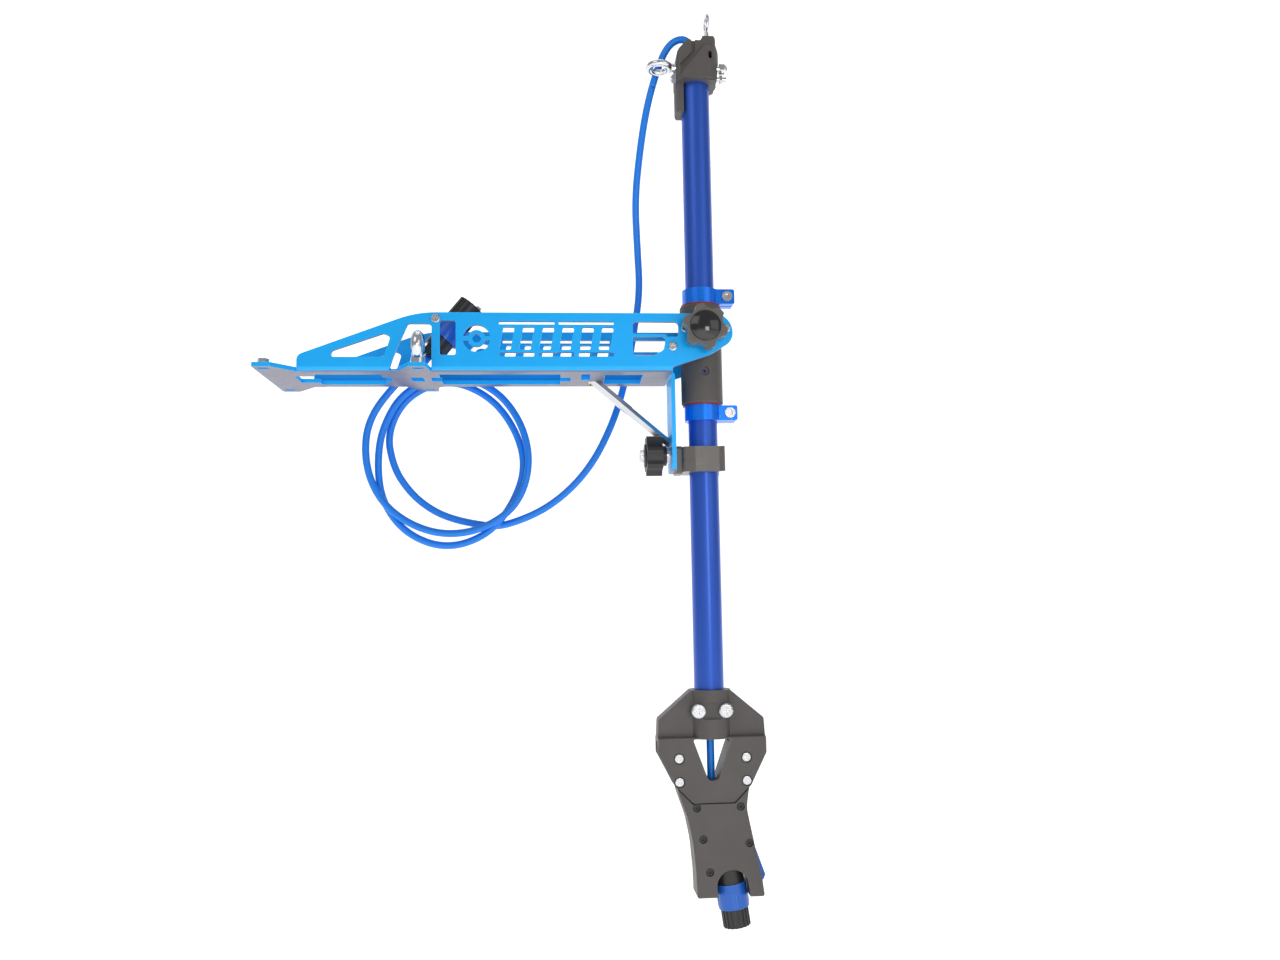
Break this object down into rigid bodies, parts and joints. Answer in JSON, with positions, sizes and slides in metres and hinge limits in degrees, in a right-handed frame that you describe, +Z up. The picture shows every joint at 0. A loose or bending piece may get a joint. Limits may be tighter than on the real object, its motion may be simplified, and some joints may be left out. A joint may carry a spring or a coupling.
{
  "type": "tilting thruster mount arm",
  "caption": "Folded sheet arm that carries an upright tilting and steering shaft tube with a cable, a clamp clip and a plug-in motor dock at its foot.",
  "frame": {"origin": "centre of the four deck slots, on the underside of the arm's deck plate", "axes": "+X aft along the arm to the shaft, +Y across the arm away from the clamping knob, +Z up along the shaft"},
  "size_m": [0.472, 0.1299, 0.908],
  "materials": {
    "anodised_sheet": "satin",
    "tube_blue": "gloss",
    "collar_blue": "gloss",
    "washer_red": "matte",
    "dark_nylon": "matte",
    "black_plastic": "matte",
    "black_gloss": "gloss",
    "grey_plastic": "matte",
    "ring_blue": "gloss",
    "cable_blue": "gloss",
    "stainless": "brushed",
    "chrome": "polished",
    "bare_aluminium": "satin",
    "brass": "satin"
  },
  "bodies": {
    "arm": {"arm_bracket": "anodised_sheet", "cross_spacer": "bare_aluminium", "plate_screws": "stainless", "plate_nuts": "stainless", "near_pivot_block": "dark_nylon", "far_pivot_block": "dark_nylon", "pivot_block_screws": "stainless", "brace_upper": "bare_aluminium", "brace_lower": "bare_aluminium", "brace_screws": "brass", "deck_eye_nut": "chrome", "deck_nuts": "stainless", "shaft_clip": "grey_plastic", "clip_saddle": "grey_plastic", "clip_stud": "stainless", "clip_knob_washer": "stainless", "clip_knob_nut": "stainless", "cable_run": "cable_blue", "cable_coil": "cable_blue", "cable_lead": "cable_blue", "battery_plug_cap": "black_plastic", "battery_plug_latch": "stainless", "battery_plug_body": "black_plastic", "battery_plug_gland": "black_plastic"},
    "tilt_sleeve": {"swivel_sleeve": "dark_nylon", "lower_bush": "black_plastic", "upper_bush": "black_plastic", "lower_thrust_washer": "washer_red", "upper_thrust_washer": "washer_red", "pivot_washer": "stainless", "pivot_bolt": "stainless"},
    "tilt_knob": {"pivot_knob": "grey_plastic", "pivot_knob_cap": "black_gloss", "pivot_knob_stud": "stainless"},
    "shaft": {"shaft_tube": "tube_blue", "lower_collar": "collar_blue", "upper_collar": "collar_blue", "collar_screws": "stainless", "steering_cap": "dark_nylon", "steering_eye_bolt": "chrome", "acorn_nut": "chrome", "cap_cross_screw": "stainless", "cap_cross_nuts": "stainless", "lift_eye_bolt": "chrome", "dock_fork_front": "dark_nylon", "dock_fork_back": "dark_nylon", "dock_shell_front": "dark_nylon", "dock_shell_back": "dark_nylon", "dock_clamp_screws": "stainless", "dock_fork_screws": "stainless", "dock_shell_screws": "black_plastic", "trigger_pin": "stainless", "motor_plug_body": "black_plastic", "motor_plug_nut": "black_plastic", "inner_cable": "cable_blue"},
    "clip_knob": {"clip_knob": "black_plastic"},
    "trigger": {"release_trigger": "ring_blue"},
    "motor_ring": {"motor_plug_ring": "ring_blue"},
    "battery_ring": {"battery_plug_ring": "ring_blue"}
  },
  "joints": [
    {"name": "shaft_tilt", "type": "hinge", "parent": "arm", "child": "tilt_sleeve", "pos_m": [0.3385, 0, 0.0395], "axis": [0, -1, 0], "range_deg": [0, 70], "deforming": ["cable_run"]},
    {"name": "steering_swivel", "type": "hinge", "parent": "tilt_sleeve", "child": "shaft", "pos_m": [0.342, 0, 0], "axis": [0, 0, 1], "range_deg": [-40, 40], "deforming": ["cable_run"]},
    {"name": "tilt_knob_turn", "type": "hinge", "parent": "tilt_sleeve", "child": "tilt_knob", "pos_m": [0.3385, -0.05, 0.0395], "axis": [0, -1, 0], "range_deg": [0, 180]},
    {"name": "clip_knob_turn", "type": "hinge", "parent": "arm", "child": "clip_knob", "pos_m": [0.297, 0, -0.0764], "axis": [1, 0, 0], "range_deg": [0, 180]},
    {"name": "trigger_press", "type": "hinge", "parent": "shaft", "child": "trigger", "pos_m": [0.3765, 0, -0.45], "axis": [0, 1, 0], "range_deg": [0, 6], "stiffness_Nm_per_rad": 0.2},
    {"name": "motor_ring_turn", "type": "hinge", "parent": "shaft", "child": "motor_ring", "pos_m": [0.35787, 0, -0.48284], "axis": [0.1392, 0, -0.9903], "range_deg": [0, 60]},
    {"name": "battery_ring_turn", "type": "hinge", "parent": "arm", "child": "battery_ring", "pos_m": [0.1159, 0, 0.0738], "axis": [0.6334, 0, 0.7738], "range_deg": [0, 60]}
  ]
}
